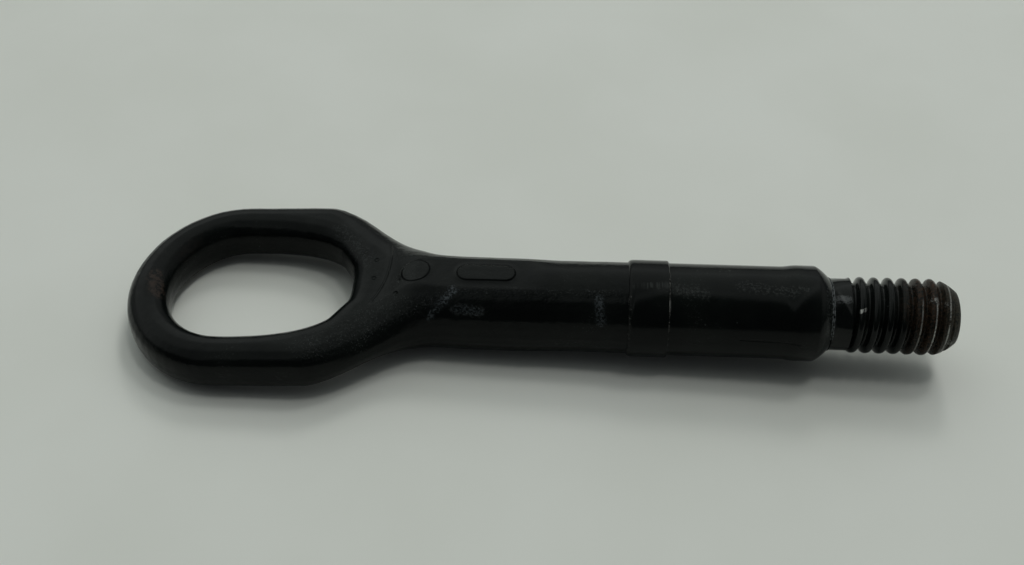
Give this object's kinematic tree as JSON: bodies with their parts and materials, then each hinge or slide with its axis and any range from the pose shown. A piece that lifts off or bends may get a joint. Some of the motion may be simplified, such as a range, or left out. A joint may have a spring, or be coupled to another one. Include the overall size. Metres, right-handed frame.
{
  "type": "tow eye",
  "caption": "Screw-in tow eye: an oval forged ring on a round shank with a guide band, a collar and a coarse left-hand thread at the end.",
  "frame": {"origin": "on the shank's axis, at the centre of the eye's round end along it, halfway through the eye's thickness", "axes": "+X along the shank's axis towards the tip of the thread, +Y across the eye, +Z square to the eye's flat side, up as it lies"},
  "size_m": [0.1962, 0.0548, 0.023],
  "materials": {
    "painted_steel": "worn satin black paint on forged steel"
  },
  "bodies": {
    "root": {"tow_eye": "painted_steel"}
  },
  "joints": []
}
